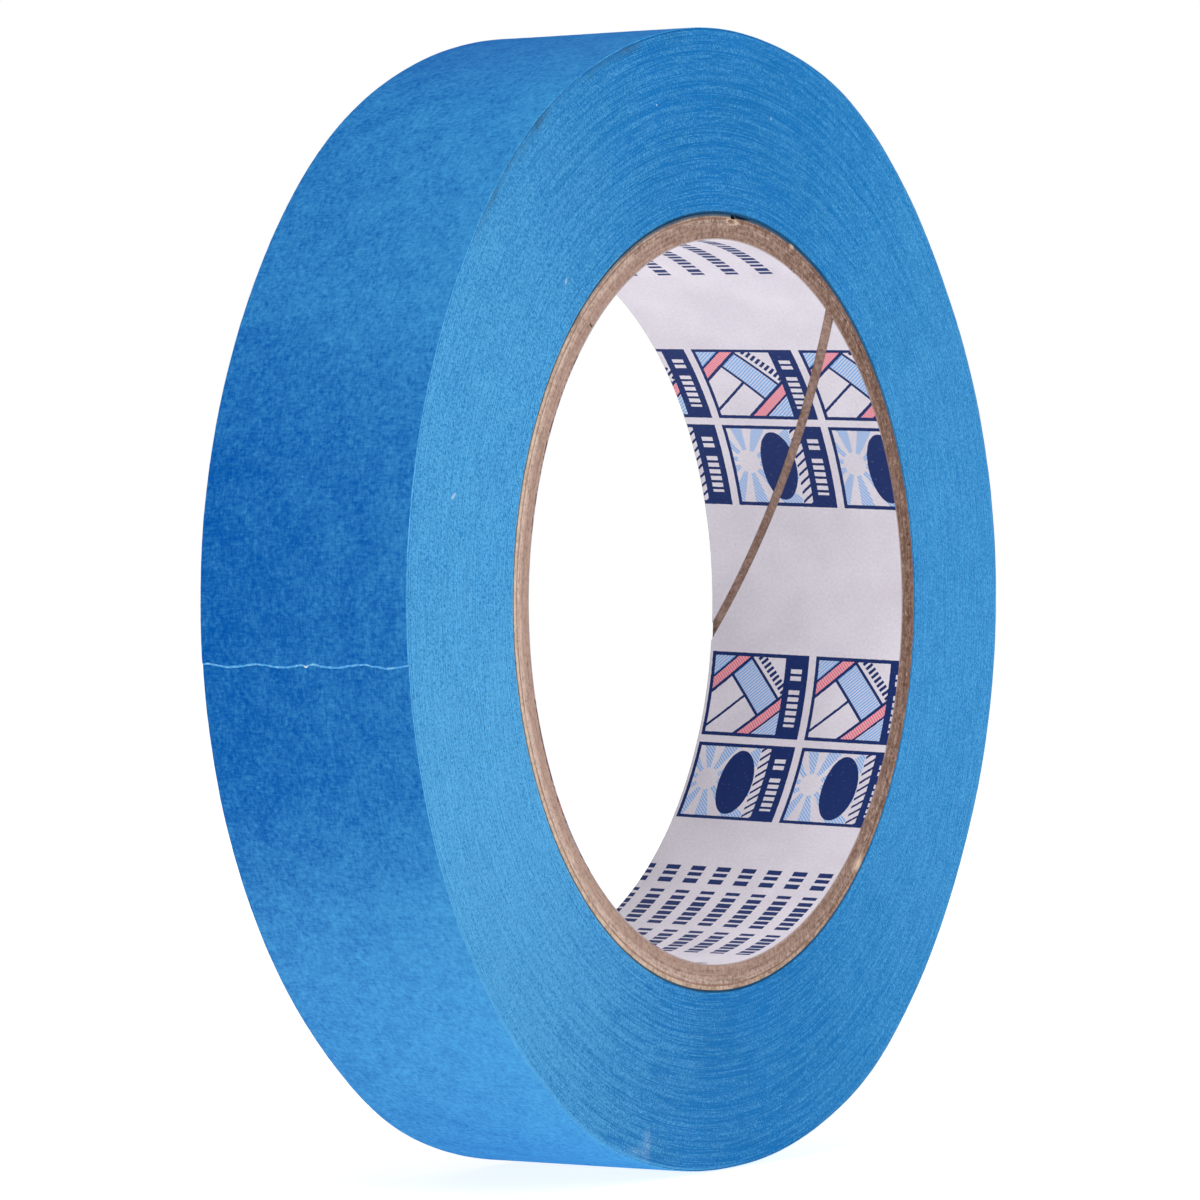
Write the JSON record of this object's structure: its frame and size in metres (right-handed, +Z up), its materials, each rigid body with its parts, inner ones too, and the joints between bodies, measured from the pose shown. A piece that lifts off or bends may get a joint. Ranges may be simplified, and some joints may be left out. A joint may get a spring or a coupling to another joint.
{
  "type": "masking tape roll",
  "caption": "Roll of blue paper masking tape wound on a printed spiral cardboard core, standing on its rim, with a torn free end that lifts.",
  "frame": {"origin": "centre of the roll, on its axis, halfway across the tape's width", "axes": "+X along the roll's axis towards the slit face that shows, +Z up, -Y towards the side with the tape's torn free end; the roll stands on its rim"},
  "size_m": [0.0244, 0.1199, 0.1198],
  "materials": {
    "core_liner": null,
    "core_board": "raw cut chipboard, fibrous",
    "core_outer_paper": "pale kraft paper, raw cut edge",
    "tape_edge": "slit edges of many tape turns, satin",
    "tape_back": "fine crepe paper, mottled, satin"
  },
  "bodies": {
    "roll": {"core_liner_paper": "core_liner", "core_board_ply_1": "core_board", "core_board_ply_2": "core_board", "core_board_ply_3": "core_board", "core_board_ply_4": "core_board", "core_outer_paper": "core_outer_paper", "wound_tape": "tape_edge", "tape_outer_turn": "tape_back"},
    "tape_end": {"tape_free_end": "tape_back"}
  },
  "joints": [
    {"name": "tape_end_peel", "type": "hinge", "parent": "roll", "child": "tape_end", "pos_m": [0, -0.05846, 0.01349], "axis": [-1, 0, 0], "range_deg": [0, 150]}
  ]
}
